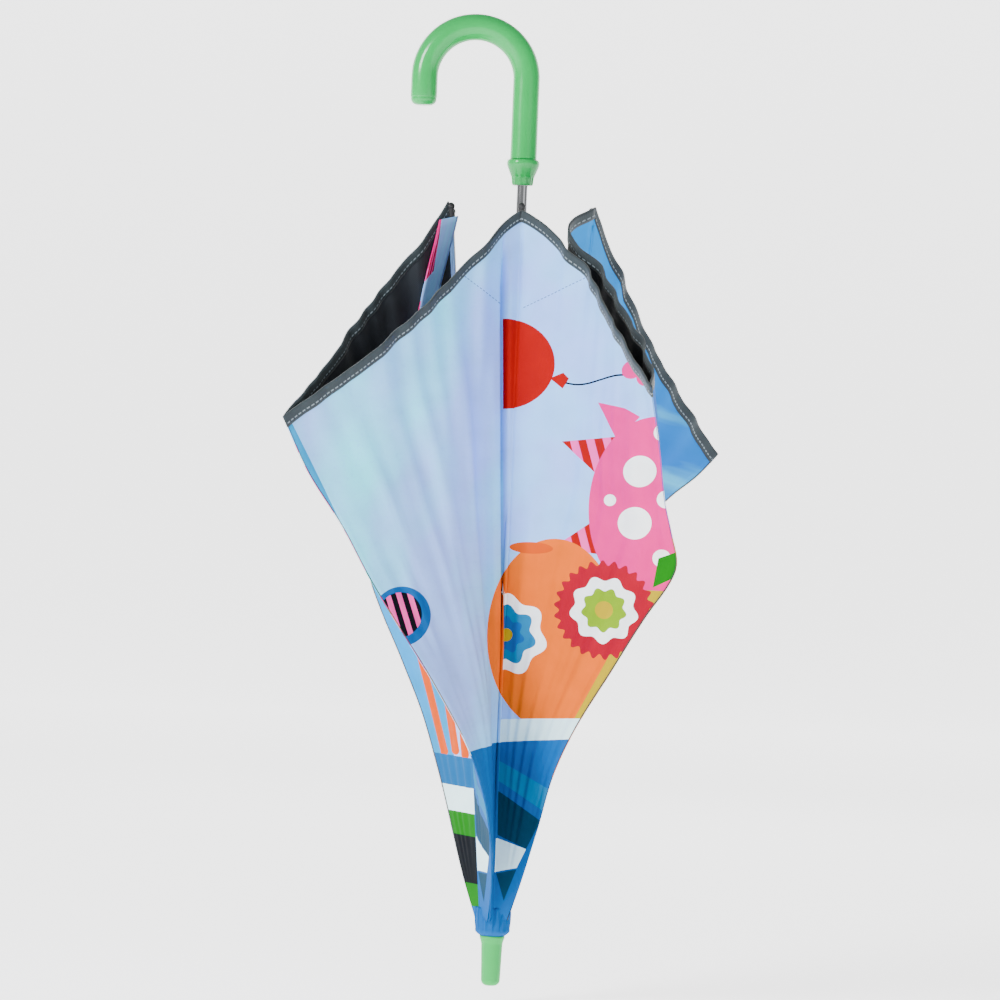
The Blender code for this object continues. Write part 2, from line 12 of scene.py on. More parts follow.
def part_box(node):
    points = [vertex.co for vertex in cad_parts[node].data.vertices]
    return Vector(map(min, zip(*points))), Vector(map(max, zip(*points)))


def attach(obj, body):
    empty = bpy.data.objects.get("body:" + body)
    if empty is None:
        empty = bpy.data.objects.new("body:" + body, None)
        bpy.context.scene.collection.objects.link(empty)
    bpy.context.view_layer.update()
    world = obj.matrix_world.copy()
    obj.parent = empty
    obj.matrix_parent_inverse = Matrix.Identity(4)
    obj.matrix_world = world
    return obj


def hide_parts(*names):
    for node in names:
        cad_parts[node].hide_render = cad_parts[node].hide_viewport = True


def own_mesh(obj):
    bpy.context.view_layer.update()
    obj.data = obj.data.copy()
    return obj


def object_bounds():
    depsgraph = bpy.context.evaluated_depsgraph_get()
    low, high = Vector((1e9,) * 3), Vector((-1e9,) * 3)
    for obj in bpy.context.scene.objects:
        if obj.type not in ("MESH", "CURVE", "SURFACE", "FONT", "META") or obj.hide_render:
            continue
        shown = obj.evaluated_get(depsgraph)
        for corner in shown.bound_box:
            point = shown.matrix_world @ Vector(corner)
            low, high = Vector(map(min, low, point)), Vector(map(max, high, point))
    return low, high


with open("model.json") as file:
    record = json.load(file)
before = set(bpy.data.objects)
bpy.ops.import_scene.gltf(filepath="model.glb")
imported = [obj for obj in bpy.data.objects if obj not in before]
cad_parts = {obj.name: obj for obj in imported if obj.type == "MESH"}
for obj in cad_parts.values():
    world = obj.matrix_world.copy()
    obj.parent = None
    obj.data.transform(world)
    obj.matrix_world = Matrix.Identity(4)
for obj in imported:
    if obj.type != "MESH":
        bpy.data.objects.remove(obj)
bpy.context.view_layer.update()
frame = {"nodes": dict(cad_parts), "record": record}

JOINTS = {joint["name"]: joint for joint in frame["record"]["behaviour"]["joints"]}
NODES = frame["nodes"]

RIB_COUNT = 6
RIB_LENGTH = 0.505
FOLD_LENGTH = 0.420
OPEN_ANGLE = math.radians(58)
PIVOT_RADIUS = 0.0075
APEX_SHIFT = PIVOT_RADIUS / math.tan(OPEN_ANGLE)
CLOTH = 0.00035
HEM_THICKNESS = 0.0013
HEM_WIDTH = 0.0066
SHAFT_X = (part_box("shaft")[0].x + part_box("shaft")[1].x) / 2


# ---------------------------------------------------------------- shader helpers
class Shader:
    """A Principled material whose colour is built up in layers of masks."""

    def __init__(self, name, roughness=0.6, **values):
        self.material = bpy.data.materials.new(name)
        self.material.use_nodes = True
        self.tree = self.material.node_tree
        self.principled = self.tree.nodes["Principled BSDF"]
        self.set("Roughness", roughness)
        for socket, value in values.items():
            self.set(socket.replace("_", " "), value)

    def set(self, socket, value):
        self.principled.inputs[socket].default_value = value

    def node(self, kind, **settings):
        made = self.tree.nodes.new(kind)
        for key, value in settings.items():
            setattr(made, key, value)
        return made

    def link(self, source, target):
        self.tree.links.new(source, target)

    def feed(self, socket, value):
        if isinstance(value, (int, float)):
            socket.default_value = value
        elif isinstance(value, tuple):
            alpha = (1,) if len(socket.default_value) > len(value) else ()
            socket.default_value = value + alpha
        else:
            self.link(value, socket)

    def math(self, operation, *values):
        made = self.node("ShaderNodeMath", operation=operation)
        for socket, value in zip(made.inputs, values):
            self.feed(socket, value)
        return made.outputs[0]

    def noise(self, scale, detail=2.0, vector=None, stretch=None):
        made = self.node("ShaderNodeTexNoise")
        made.inputs["Scale"].default_value = scale
        made.inputs["Detail"].default_value = detail
        vector = vector or self.object_coordinates()
        if stretch:
            mapping = self.node("ShaderNodeMapping")
            mapping.inputs["Scale"].default_value = stretch
            self.link(vector, mapping.inputs["Vector"])
            vector = mapping.outputs[0]
        self.link(vector, made.inputs["Vector"])
        return made.outputs["Fac"]

    def object_coordinates(self):
        return self.node("ShaderNodeTexCoord").outputs["Object"]

    def ramp(self, value, low, high, low_to=0.0, high_to=1.0):
        made = self.node("ShaderNodeMapRange")
        for socket, level in zip(("From Min", "From Max", "To Min", "To Max"), (low, high, low_to, high_to)):
            made.inputs[socket].default_value = level
        self.link(value, made.inputs["Value"])
        return made.outputs[0]

    def mix(self, factor, first, second, blend="MIX"):
        made = self.node("ShaderNodeMix", data_type="RGBA", blend_type=blend)
        self.feed(made.inputs[0], factor)
        self.feed(made.inputs[6], first)
        self.feed(made.inputs[7], second)
        return made.outputs[2]

    def colour(self, value):
        self.feed(self.principled.inputs["Base Color"], value)

    def bump(self, height, distance=0.0002, strength=0.5):
        made = self.node("ShaderNodeBump")
        made.inputs["Strength"].default_value = strength
        made.inputs["Distance"].default_value = distance
        self.link(height, made.inputs["Height"])
        self.link(made.outputs[0], self.principled.inputs["Normal"])


def srgb(red, green, blue):
    """Linear colour from 0 to 255 values."""
    def linear(c):
        c /= 255
        return c / 12.92 if c <= 0.04045 else ((c + 0.055) / 1.055) ** 2.4
    return linear(red), linear(green), linear(blue)


def ink(red, green, blue):
    """A printed colour, less bright than it looks under the studio's light."""
    return tuple(0.9 * c for c in srgb(red, green, blue))


THREADS_PER_METRE = 1400.0


def weave(shader):
    """Fine plain weave as bump, from the cloth's own coordinates in metres."""
    place = shader.node("ShaderNodeAttribute", attribute_name="cloth")
    parts = shader.node("ShaderNodeSeparateXYZ")
    shader.link(place.outputs["Vector"], parts.inputs[0])
    warp = shader.math("SINE", shader.math("MULTIPLY", parts.outputs[0], THREADS_PER_METRE * math.pi))
    weft = shader.math("SINE", shader.math("MULTIPLY", parts.outputs[1], THREADS_PER_METRE * math.pi))
    return shader.math("MULTIPLY", warp, weft)


# ---------------------------------------------------------------- print
class Print(Shader):
    """Printed cloth: shapes laid over each other on coordinates across and up the canopy, in millimetres."""

    def __init__(self, name):
        super().__init__(name, roughness=0.75, Specular_IOR_Level=0.1)
        place = self.node("ShaderNodeAttribute", attribute_name="print")
        parts = self.node("ShaderNodeSeparateXYZ")
        self.link(place.outputs["Vector"], parts.inputs[0])
        self.vector = place.outputs["Vector"]
        self.x = parts.outputs[0]
        self.z = parts.outputs[1]
        self.now = (0.5, 0.6, 0.9)

    def ellipse(self, x, z, rx, rz):
        dx = self.math("DIVIDE", self.math("SUBTRACT", self.x, x), rx)
        dz = self.math("DIVIDE", self.math("SUBTRACT", self.z, z), rz)
        square = self.math("ADD", self.math("MULTIPLY", dx, dx), self.math("MULTIPLY", dz, dz))
        return self.math("LESS_THAN", square, 1.0)

    def blossom(self, x, z, radius, petals, depth):
        """A round outline with lobes."""
        dx = self.math("SUBTRACT", self.x, x)
        dz = self.math("SUBTRACT", self.z, z)
        square = self.math("ADD", self.math("MULTIPLY", dx, dx), self.math("MULTIPLY", dz, dz))
        away = self.math("SQRT", square)
        turn = self.math("MULTIPLY", self.math("ARCTAN2", dz, dx), float(petals))
        lobes = self.math("MULTIPLY", self.math("SINE", turn), depth)
        return self.math("LESS_THAN", self.math("ADD", away, lobes), radius)

    def beyond(self, first, second):
        """Left of the line from first to second."""
        (x0, z0), (x1, z1) = first, second
        a = self.math("MULTIPLY", self.math("SUBTRACT", self.z, z0), x1 - x0)
        b = self.math("MULTIPLY", self.math("SUBTRACT", self.x, x0), z1 - z0)
        return self.math("GREATER_THAN", self.math("SUBTRACT", a, b), 0.0)

    def polygon(self, *corners):
        """Inside of a convex outline given anticlockwise."""
        inside = None
        for first, second in zip(corners, corners[1:] + corners[:1]):
            edge = self.beyond(first, second)
            inside = edge if inside is None else self.math("MULTIPLY", inside, edge)
        return inside

    def below(self, level, slope):
        """Below a line that rises to the right."""
        line = self.math("ADD", self.math("MULTIPLY", self.x, slope), level)
        return self.math("LESS_THAN", self.z, line)

    def both(self, first, second):
        """Where two masks meet."""
        return self.math("MULTIPLY", first, second)

    def paint(self, mask, colour):
        """Lays a colour over the print where the mask is 1."""
        self.now = self.mix(mask, self.now, colour)

    def stripes(self, width, slope=0.0):
        along = self.math("ADD", self.x, self.math("MULTIPLY", self.z, slope))
        turn = self.math("FRACT", self.math("DIVIDE", along, width))
        return self.math("LESS_THAN", turn, 0.5)

    def finish(self):
        """Adds uneven dye and the weave, and gives the material."""
        worn = self.ramp(self.noise(0.05, 3, self.vector), 0.3, 0.7, 0.94, 1.05)
        grey = self.node("ShaderNodeCombineColor")
        for socket in grey.inputs:
            self.link(worn, socket)
        self.colour(self.mix(1.0, self.now, grey.outputs[0], "MULTIPLY"))
        self.bump(weave(self), 0.00006, 0.35)
        return self.material


LAVENDER = srgb(148, 186, 255)
AQUA = srgb(105, 235, 255)
PERIWINKLE = srgb(140, 196, 255)
SKY = ink(0, 148, 232)
DEEP_SKY = ink(0, 86, 187)
RED = ink(165, 0, 0)
PINK = ink(234, 20, 132)
PALE_PINK = ink(255, 80, 175)
CRIMSON = ink(165, 0, 37)
ORANGE = ink(238, 104, 0)
DARK_ORANGE = ink(215, 79, 0)
WHITE = srgb(250, 255, 255)
MINT_WHITE = srgb(215, 250, 255)
LIME = ink(125, 165, 0)
NAVY = ink(0, 6, 16)
BLUE = ink(0, 90, 162)
CYAN = ink(0, 146, 203)
BRIGHT_CYAN = ink(0, 118, 168)
TEAL = ink(0, 58, 84)
YELLOW = ink(185, 158, 0)
LEAF = ink(3, 113, 6)


def watercolour(paper, first, second):
    """A soft wash of two colours with some pigment grain."""
    wash = paper.noise(0.012, 3, paper.vector, (1.0, 0.45, 1.0))
    paper.now = paper.mix(paper.ramp(wash, 0.38, 0.62), first, second)
    grain = paper.noise(0.35, 2, paper.vector)
    paper.now = paper.mix(paper.ramp(grain, 0.55, 0.75, 0.0, 0.16), paper.now, srgb(110, 150, 235))


def front_print():
    """Watercolour sky, a balloon, pennants, spots on pink, an orange hill, two flowers, blue ground."""
    paper = Print("print_front")
    watercolour(paper, LAVENDER, AQUA)
    # the right half begins at the pleat beside the seam
    pleat_line = paper.math("MULTIPLY", paper.math("ADD", paper.z, 423.0), -0.0436)
    right = paper.math("GREATER_THAN", paper.x, paper.math("MINIMUM", pleat_line, 0.0))
    plain = paper.mix(paper.ramp(paper.noise(0.02, 2, paper.vector), 0.4, 0.6), PERIWINKLE, LAVENDER)
    paper.paint(right, plain)
    # outer edge of the left half, and a striped ball on it
    strip = paper.beyond((-92, -380), (-153, -266))
    paper.paint(paper.both(strip, paper.math("GREATER_THAN", paper.z, -380.0)), CYAN)
    paper.paint(paper.ellipse(-70, -402, 19.5, 20), BLUE)
    ball = paper.mix(paper.stripes(7.5, 0.35), NAVY, PALE_PINK)
    paper.paint(paper.ellipse(-71, -401, 14.5, 15), ball)
    # reinforcing stitches that run to the seam
    for first, second in (((-48, -162), (-12, -186)), ((4, -188), (50, -165))):
        stitches(paper, first, second)
    # balloon and its string
    paper.paint(paper.both(right, paper.ellipse(-8, -227, 35, 31)), RED)
    paper.paint(paper.polygon((24, -236), (33, -243), (37, -236), (33, -232)), RED)
    wave = paper.math("MULTIPLY", paper.math("SINE", paper.math("MULTIPLY", paper.x, 0.11)), 3.0)
    level = paper.math("ABSOLUTE", paper.math("SUBTRACT", paper.z, paper.math("ADD", wave, -237.0)))
    string = paper.both(paper.math("LESS_THAN", level, 0.6), paper.math("GREATER_THAN", paper.x, 35.0))
    paper.paint(paper.both(string, paper.math("LESS_THAN", paper.x, 84.0)), NAVY)
    # blossom at the string's end, a petal, striped pennants, and a pink round with pale spots
    for x, z in ((80, -222), (88, -224), (77, -231), (86, -236)):
        paper.paint(paper.ellipse(x, z, 6.0, 6.0), PINK)
    paper.paint(paper.polygon((57, -252), (70, -277), (84, -262), (74, -256)), PINK)
    for tip, top, foot in (((34, -279), (70, -275), (61, -303)), ((31, -352), (57, -333), (69, -356))):
        paper.paint(paper.polygon(tip, foot, top), paper.mix(paper.stripes(11, 0.3), RED, PALE_PINK))
    paper.paint(paper.ellipse(94, -322, 40, 60), PINK)
    spots = ((86, -298, 10.5), (85, -333, 11), (99, -272, 6), (104, -356, 6), (104, -316, 6), (68, -318, 4))
    for x, z, radius in spots:
        paper.paint(paper.ellipse(x, z, radius, radius), WHITE)
    # orange hill
    paper.paint(paper.ellipse(33, -412, 45, 66), ORANGE)
    paper.paint(paper.polygon((36, -352), (80, -352), (96, -392), (54, -478), (30, -478)), ORANGE)
    paper.paint(paper.ellipse(16, -353, 15, 4), DARK_ORANGE)
    # yellow field at the edge, a leaf
    paper.paint(paper.polygon((94, -378), (44, -480), (80, -490), (150, -378)), YELLOW)
    paper.paint(paper.polygon((99, -376), (118, -366), (116, -350), (102, -356)), LEAF)
    # two flowers, the second one fringed
    rings = ((26.5, 2.4, WHITE), (19.0, 2.2, BRIGHT_CYAN), (11.5, 1.6, BLUE), (4.6, 0.0, YELLOW))
    for radius, depth, colour in rings:
        paper.paint(paper.both(right, paper.blossom(1, -414, radius, 7, depth)), colour)
    paper.paint(paper.blossom(67, -393, 32.0, 26, 1.8), CRIMSON)
    for radius, depth, colour in ((21.5, 1.7, WHITE), (14.0, 1.3, LIME), (6.0, 0.0, YELLOW)):
        paper.paint(paper.blossom(67, -393, radius, 9, depth), colour)
    # white bank and blue ground
    bank = paper.below(-473.0, 0.10)
    paper.paint(paper.both(right, bank), MINT_WHITE)
    paper.paint(paper.below(-489.0, 0.14), BLUE)
    paper.paint(paper.both(right, paper.polygon((0, -502), (0, -516), (60, -550), (60, -530))), BRIGHT_CYAN)
    paper.paint(paper.polygon((0, -523), (1, -554), (21, -562), (30, -541)), TEAL)
    paper.paint(paper.polygon((0, -556), (0, -580), (15, -576), (21, -562)), MINT_WHITE)
    paper.paint(paper.polygon((1, -581), (7, -600), (15, -577)), TEAL)
    return paper.finish()


def stitches(paper, first, second):
    """A dashed line between two places of the print."""
    (x0, z0), (x1, z1) = first, second
    length = math.hypot(x1 - x0, z1 - z0)
    ux, uz = (x1 - x0) / length, (z1 - z0) / length
    dx, dz = paper.math("SUBTRACT", paper.x, x0), paper.math("SUBTRACT", paper.z, z0)
    along = paper.math("ADD", paper.math("MULTIPLY", dx, ux), paper.math("MULTIPLY", dz, uz))
    off = paper.math("SUBTRACT", paper.math("MULTIPLY", dx, uz), paper.math("MULTIPLY", dz, ux))
    line = paper.math("LESS_THAN", paper.math("ABSOLUTE", off), 0.28)
    inside = paper.both(paper.math("GREATER_THAN", along, 0.0), paper.math("LESS_THAN", along, length))
    dash = paper.math("LESS_THAN", paper.math("FRACT", paper.math("DIVIDE", along, 2.6)), 0.6)
    paper.paint(paper.both(paper.both(line, inside), dash), ink(69, 99, 172))


def side_print():
    """Cyan above orange drips, then blocks of teal, white, green and navy."""
    paper = Print("print_side")
    wash = paper.noise(0.02, 2, paper.vector)
    paper.now = paper.mix(paper.ramp(wash, 0.4, 0.6, 0.0, 0.5), CYAN, SKY)
    paper.paint(paper.math("GREATER_THAN", paper.x, -32.0), LAVENDER)
    for x, lean, foot in ((-39, 0.30, -500), (-31, 0.20, -498), (-24, 0.12, -500)):
        centre = paper.math("ADD", paper.math("MULTIPLY", paper.math("SUBTRACT", foot, paper.z), lean), x)
        near = paper.math("LESS_THAN", paper.math("ABSOLUTE", paper.math("SUBTRACT", paper.x, centre)), 2.8)
        band = paper.both(near, paper.math("GREATER_THAN", paper.z, foot))
        paper.paint(paper.both(band, paper.math("LESS_THAN", paper.z, -430.0)), DARK_ORANGE)
        paper.paint(paper.ellipse(x, foot, 2.8, 3.2), DARK_ORANGE)
    for level, colour in (
        (-502, ink(0, 92, 150)), (-523, MINT_WHITE), (-541, LEAF), (-557, NAVY), (-590, LEAF), (-606, BLUE)
    ):
        paper.paint(paper.math("LESS_THAN", paper.z, float(level)), colour)
    paper.paint(paper.polygon((-26, -502), (-17, -502), (-12, -625), (-20, -560)), MINT_WHITE)
    return paper.finish()


def sky_print():
    """Deepening sky with soft clouds, yellow and blue bands low down."""
    paper = Print("print_sky")
    rise = paper.ramp(paper.z, -330.0, -150.0)
    paper.now = paper.mix(rise, DEEP_SKY, SKY)
    cloud = paper.noise(0.018, 4, paper.vector, (1.0, 1.8, 1.0))
    paper.now = paper.mix(paper.ramp(cloud, 0.55, 0.72, 0.0, 0.55), paper.now, AQUA)
    wave = paper.math("SINE", paper.math("MULTIPLY", paper.x, 0.05))
    hill = paper.math("ADD", paper.math("MULTIPLY", wave, 9.0), -372.0)
    paper.paint(paper.math("LESS_THAN", paper.z, hill), YELLOW)
    paper.paint(paper.math("LESS_THAN", paper.z, paper.math("ADD", hill, -70.0)), ORANGE)
    paper.paint(paper.math("LESS_THAN", paper.z, -520.0), BLUE)
    paper.paint(paper.math("LESS_THAN", paper.z, -556.0), BRIGHT_CYAN)
    paper.paint(paper.math("LESS_THAN", paper.z, -574.0), BLUE)
    return paper.finish()


def lining_material():
    shader = Shader("lining", roughness=0.7, Sheen_Weight=0.15)
    tone = shader.noise(60, 3)
    shader.colour(shader.mix(tone, srgb(20, 26, 34), srgb(36, 44, 54)))
    shader.bump(weave(shader), 0.00006, 0.4)
    return shader.material


def binding_material():
    """Dark woven tape with a line of light stitches; x of its coordinates runs along the tape, y across."""
    shader = Shader("binding", roughness=0.8, Sheen_Weight=0.2)
    place = shader.node("ShaderNodeAttribute", attribute_name="cloth")
    parts = shader.node("ShaderNodeSeparateXYZ")
    shader.link(place.outputs["Vector"], parts.inputs[0])
    tone = shader.noise(300, 2)
    base = shader.mix(tone, srgb(24, 36, 42), srgb(38, 52, 58))
    turn = shader.math("FRACT", shader.math("DIVIDE", parts.outputs[0], 0.0034))
    dash = shader.math("LESS_THAN", turn, 0.62)
    off = shader.math("ABSOLUTE", shader.math("SUBTRACT", parts.outputs[1], 0.0046))
    line = shader.math("LESS_THAN", off, 0.00035)
    stitch = shader.math("MULTIPLY", dash, line)
    shader.colour(shader.mix(stitch, base, srgb(120, 134, 142)))
    ribs = shader.math("SINE", shader.math("MULTIPLY", parts.outputs[0], 5200.0))
    height = shader.math("ADD", shader.math("MULTIPLY", ribs, 0.3), shader.math("MULTIPLY", stitch, 2.0))
    shader.bump(height, 0.00012, 0.6)
    return shader.material


def moulded(name, colour, roughness, coat):
    """Moulded plastic, slightly uneven in colour and gloss."""
    shader = Shader(name, Specular_IOR_Level=0.35, Coat_Weight=coat, Coat_Roughness=0.08)
    cloud = shader.noise(35, 3)
    dark = tuple(c * 0.9 for c in colour)
    shader.colour(shader.mix(shader.ramp(cloud, 0.35, 0.65), dark, colour))
    scuff = shader.noise(700, 4)
    gloss = shader.ramp(scuff, 0.3, 0.75, roughness * 0.8, roughness * 1.35)
    shader.link(gloss, shader.principled.inputs["Roughness"])
    shader.bump(shader.noise(260, 3), 0.00004, 0.35)
    return shader.material


def metal(name, colour, roughness):
    """Metal with fine lines drawn along the shaft."""
    shader = Shader(name, Metallic=1.0)
    drawn = shader.noise(900, 3, stretch=(1.0, 1.0, 0.05))
    shader.colour(shader.mix(drawn, tuple(c * 0.86 for c in colour), colour))
    gloss = shader.ramp(drawn, 0.3, 0.7, roughness * 0.7, roughness * 1.4)
    shader.link(gloss, shader.principled.inputs["Roughness"])
    shader.bump(drawn, 0.00002, 0.3)
    return shader.material


PRINT_FRONT = front_print()
PRINT_SIDE = side_print()
PRINT_SKY = sky_print()
LINING = lining_material()
BINDING = binding_material()
GREEN = moulded("handle_green", ink(0, 172, 78), 0.2, 0.1)
PALE_GREEN = moulded("ferrule_green", ink(0, 178, 76), 0.4, 0.0)
BLACK = moulded("black_plastic", (0.018, 0.019, 0.021), 0.42, 0.0)
CHROME = metal("chrome", (0.50, 0.51, 0.53), 0.10)
STEEL = metal("zinc_steel", (0.56, 0.57, 0.60), 0.30)


def repaint(names, finish):
    """Gives carried-over CAD pieces a material."""
    for name in names:
        mesh = NODES[name].data
        mesh.materials.clear()
        mesh.materials.append(finish)


numbers = range(1, RIB_COUNT + 1)
repaint(["shaft"], CHROME)
repaint(["notch", "runner", "rosette"] + [f"rib_tip_{n}" for n in numbers], BLACK)
repaint(
    ["handle_pin", "stop_pin", "notch_wire", "runner_wire", "closed_catch", "open_catch"]
    + [f"{kind}_{n}" for kind in ("rib", "rib_pin", "stretcher") for n in numbers],
    STEEL,
)


# ---------------------------------------------------------------- moulded pieces
def skin(name, rings, finish, node):
    """Closed round surface through rings of points, which replaces one CAD piece."""
    count = len(rings[0])
    faces = []
    for row in range(len(rings) - 1):
        for i in range(count):
            j = (i + 1) % count
            first, second = row * count, (row + 1) * count
            faces.append((first + i, first + j, second + j, second + i))
    mesh = bpy.data.meshes.new(name)
    mesh.from_pydata([point for ring in rings for point in ring], [], faces)
    work = bmesh.new()
    work.from_mesh(mesh)
    bmesh.ops.remove_doubles(work, verts=work.verts, dist=1e-6)
    bmesh.ops.recalc_face_normals(work, faces=work.faces)
    work.to_mesh(mesh)
    work.free()
    mesh.shade_smooth()
    mesh.materials.append(finish)
    piece = bpy.data.objects.new(name, mesh)
    bpy.context.scene.collection.objects.link(piece)
    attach(piece, "frame")
    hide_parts(node)


ROUND_STEPS = 96
FLUTES = 12
FLUTE_DEPTH = 0.022


def turned(name, node, rows, finish, flutes=None):
    """Turned piece about the shaft: rows of (share of its height from the top, share of its largest
    radius), with flutes between two shares of its height."""
    low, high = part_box(node)
    radius, height = (high.y - low.y) / 2, high.z - low.z
    rings = []
    for down, out in rows:
        ring = []
        for i in range(ROUND_STEPS):
            angle = 2 * math.pi * i / ROUND_STEPS
            depth = 0.0
            if flutes and flutes[0] < down < flutes[1]:
                depth = FLUTE_DEPTH * (1 + math.cos(FLUTES * angle))
            reach = radius * (out - depth)
            ring.append((SHAFT_X + reach * math.cos(angle), reach * math.sin(angle), high.z - height * down))
        rings.append(ring)
    skin(name, rings, finish, node)


def rounded_end(share, radius, corner_down, corner_in):
    """Rows of a quarter turn that ends a turned outline; all four are shares of its height or radius."""
    rows = []
    for i in range(9):
        angle = math.pi / 2 * i / 8
        rows.append((share + corner_down * math.sin(angle), radius - corner_in * (1 - math.cos(angle))))
    return rows


def make_handle():
    """The crook: a straight stem, half a turn, and a short leg with a groove above its rounded cap."""
    low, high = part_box("handle")
    radius = (high.y - low.y) / 2
    bend = (high.x - low.x) / 2 - radius
    centre = high.z - bend - radius
    leg, corner, groove = 0.0204, 0.0045, 0.0054
    line = [((bend, low.z + (centre - low.z) * i / 8), 0.0, radius) for i in range(8)]
    for i in range(97):
        angle = math.pi * i / 96
        line.append(((bend * math.cos(angle), centre + bend * math.sin(angle)), angle, radius))
    end = centre - leg
    for up, inward in ((0.0008, 0), (0.0003, 0.0001), (0, 0.0003), (-0.0003, 0.0003)):
        line.append(((-bend, end + groove + up), math.pi, radius - inward))
    for i in range(13):
        angle = math.pi / 2 * i / 12
        reach = radius - 0.0003 - corner * (1 - math.cos(angle))
        line.append(((-bend, end + corner * (1 - math.sin(angle))), math.pi, reach))
    line.append(((-bend, end - 0.0001), math.pi, 0.0))
    rings = []
    for (x, z), angle, reach in line:
        ring = []
        for i in range(64):
            turn = 2 * math.pi * i / 64
            out = reach * math.cos(turn)
            ring.append((x + out * math.cos(angle), reach * math.sin(turn), z + out * math.sin(angle)))
        rings.append(ring)
    skin("crook", rings, GREEN, "handle")


def make_mouldings():
    make_handle()
    collar = [
        (0.0, 0.36), (0.0, 0.86), (0.012, 0.92), (0.04, 0.965), (0.09, 0.993), (0.14, 1.0), (0.21, 0.99),
        (0.27, 0.965), (0.40, 0.885), (0.55, 0.79), (0.66, 0.72), (0.70, 0.70), (0.72, 0.70), (0.80, 0.685),
        (0.90, 0.67), (0.93, 0.665), (0.97, 0.64), (0.99, 0.60), (1.0, 0.55), (1.0, 0.36),
    ]
    turned("collar", "handle_collar", collar, GREEN, (0.69, 0.95))
    low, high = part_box("ferrule")
    height, radius, corner = high.z - low.z, (high.y - low.y) / 2, 0.0042
    rim = [
        (0.0, 0.46), (0.0, 0.97), (0.008, 1.0), (0.04, 0.99), (0.07, 0.955), (0.10, 0.91), (0.135, 0.875),
        (0.145, 0.855), (0.18, 0.845), (0.5, 0.80),
    ]
    nose = rounded_end(1 - corner / height, 0.755, corner / height, corner / radius)
    turned("end_cap", "ferrule", rim + nose + [(1.0, 0.0)], PALE_GREEN)


make_mouldings()


# ---------------------------------------------------------------- canopy geometry
def smoothstep(low, high, value):
    """0 at low, 1 at high, with level ends."""
    t = min(1.0, max(0.0, (value - low) / (high - low)))
    return t * t * (3 - 2 * t)


def curve_through(points, value):
    """Smooth curve through (place, height) points, level beyond its ends."""
    value = min(points[-1][0], max(points[0][0], value))
    slopes = [(b[1] - a[1]) / (b[0] - a[0]) for a, b in zip(points, points[1:])]
    last = len(slopes) - 1
    i = next(n for n in range(last + 1) if value <= points[n + 1][0])
    (x0, y0), (x1, y1) = points[i], points[i + 1]
    start = (slopes[max(i - 1, 0)] + slopes[i]) / 2
    end = (slopes[i] + slopes[min(i + 1, last)]) / 2
    t = (value - x0) / (x1 - x0)
    ease = t * t * (3 - 2 * t)
    return y0 + (y1 - y0) * ease + (x1 - x0) * t * (1 - t) * (start * (1 - t) - end * t)


class Half:
    """Half a gore at rest, in the plane of its CAD panel, which holds its axes: along its rib, and across
    from the rib to the fold."""

    def __init__(self, gore, side):
        self.gore = gore
        self.side = side
        self.name = f"{gore}{side}"
        self.rib = gore if side == "a" else gore % RIB_COUNT + 1
        joint = JOINTS[f"panel_{self.name}_fold"]
        self.pivot = Vector(joint["pos_m"])
        self.along = Vector(joint["axis"])
        if self.along.z < 0:
            self.along.negate()
        points = [v.co for v in NODES[f"canopy_panel_{self.name}"].data.vertices]
        middle = sum((Vector(p) for p in points), Vector()) / len(points) - self.pivot
        self.across = (middle - self.along * middle.dot(self.along)).normalized()
        self.outward = self.across.cross(self.along)
        if side == "b":
            self.outward.negate()
        self.apex = self.pivot - self.along * APEX_SHIFT
        radial = self.pivot - Vector((SHAFT_X, 0, self.pivot.z))
        self.over_rib = (radial.normalized() - self.along * radial.normalized().dot(self.along)).normalized()


HALVES = {f"{gore}{side}": Half(gore, side) for gore in numbers for side in "ab"}

# how far each gore's fold leans sideways, in metres, at shares of its length from the apex
FOLD_LEAN = {
    1: [(0, 0.004), (0.1, 0.005), (0.2, 0.004), (0.3, 0.002), (0.4, 0.008), (0.5, 0.020), (0.6, 0.032),
        (0.66, 0.040), (0.69, 0.040), (0.75, 0.026), (0.8, 0.014), (0.9, -0.004), (1, -0.023)],
    2: [(0, 0), (0.1, -0.003), (0.2, -0.009), (0.3, -0.018), (0.4, -0.024), (0.5, -0.019), (0.6, -0.017),
        (0.7, -0.019), (0.8, -0.030), (0.85, -0.034), (0.9, -0.024), (0.95, -0.008), (1, 0.002)],
    3: [(0, 0), (0.5, 0.012), (1, -0.004)],
    4: [(0, 0), (0.5, -0.012), (1, 0.004)],
    5: [(0, -0.002), (0.1, -0.004), (0.3, -0.001), (0.4, -0.001), (0.5, -0.006), (0.6, -0.012),
        (0.66, -0.012), (0.75, 0), (0.85, 0.006), (1, 0.004)],
    6: [(0, 0), (0.1, 0.025), (0.2, 0.045), (0.3, 0.057), (0.4, 0.058), (0.5, 0.048), (0.6, 0.033),
        (0.7, 0.021), (0.8, 0.013), (0.9, -0.002), (1, -0.004)],
}
# how far each half gore bows outwards at the hem, in metres, at parts of the way from rib to fold
HEM_BOW = {
    "1a": [(0, 0), (0.15, -0.009), (0.45, -0.013), (0.75, -0.005), (0.9, -0.0005), (1, 0)],
    "1b": [(0, 0), (0.12, -0.025), (0.3, -0.014), (0.5, -0.004), (0.75, 0.005), (0.9, 0.004), (1, 0)],
    "2a": [(0, 0), (0.5, -0.004), (1, 0)],
}
PLAIN_BOW = [(0.0, 0), (0.5, 0.009), (1.0, 0)]
# how much shorter than the plain length a fold is, and how far back its hem end lies
FOLD_SHORTER = {1: -0.018, 2: 0.031, 6: 0.016}
FOLD_BACK = {1: 0.008}
# share of the way to the hem at which the cloth leaves the gathered cap
START = 0.024
